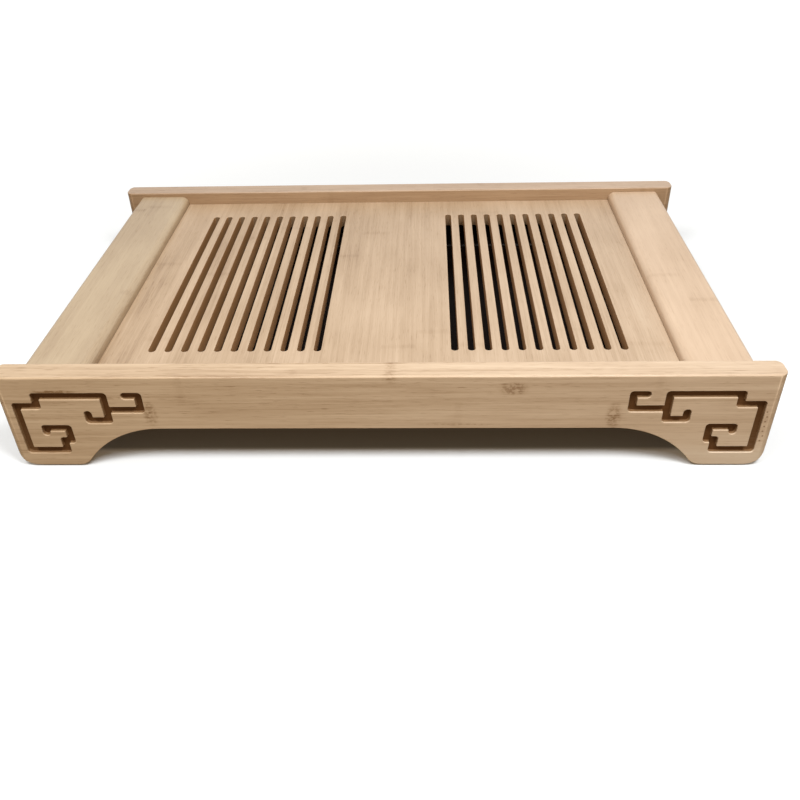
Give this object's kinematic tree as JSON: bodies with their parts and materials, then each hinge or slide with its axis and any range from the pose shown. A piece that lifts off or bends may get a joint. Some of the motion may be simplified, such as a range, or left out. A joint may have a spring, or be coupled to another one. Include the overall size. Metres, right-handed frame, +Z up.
{
  "type": "gongfu tea tray",
  "caption": "Bamboo tea tray with a slotted draining panel between fret-carved rails on low feet, and a water drawer with a black liner underneath.",
  "frame": {"origin": "on the table, under the middle of the tray", "axes": "+X along the rails towards the end where the drawer pulls out, +Y from the front rail to the rear rail, +Z up"},
  "size_m": [0.44, 0.278, 0.064],
  "materials": {
    "rail_bamboo": "satin",
    "panel_bamboo": "satin",
    "cap_bamboo": "satin",
    "inner_bamboo": "plain",
    "black_plastic": "gloss",
    "screw_steel": "plated",
    "pad_rubber": "matt"
  },
  "bodies": {
    "tray": {"front_rail": "rail_bamboo", "rear_rail": "rail_bamboo", "slotted_panel": "panel_bamboo", "left_end_cap": "cap_bamboo", "right_end_cap": "cap_bamboo", "left_end_board": "cap_bamboo", "cap_tenons": "inner_bamboo", "end_board_tenons": "inner_bamboo", "front_runner": "inner_bamboo", "rear_runner": "inner_bamboo", "runner_screws": "screw_steel", "front_left_pad": "pad_rubber", "front_right_pad": "pad_rubber", "rear_left_pad": "pad_rubber", "rear_right_pad": "pad_rubber"},
    "drawer": {"drawer_front": "cap_bamboo", "drawer_back": "inner_bamboo", "drawer_front_side": "inner_bamboo", "drawer_rear_side": "inner_bamboo", "drawer_bottom": "inner_bamboo", "water_liner": "black_plastic"}
  },
  "joints": [
    {"name": "drawer_slide", "type": "slide", "parent": "tray", "child": "drawer", "axis": [1, 0, 0], "range_m": [0, 0.385]}
  ]
}
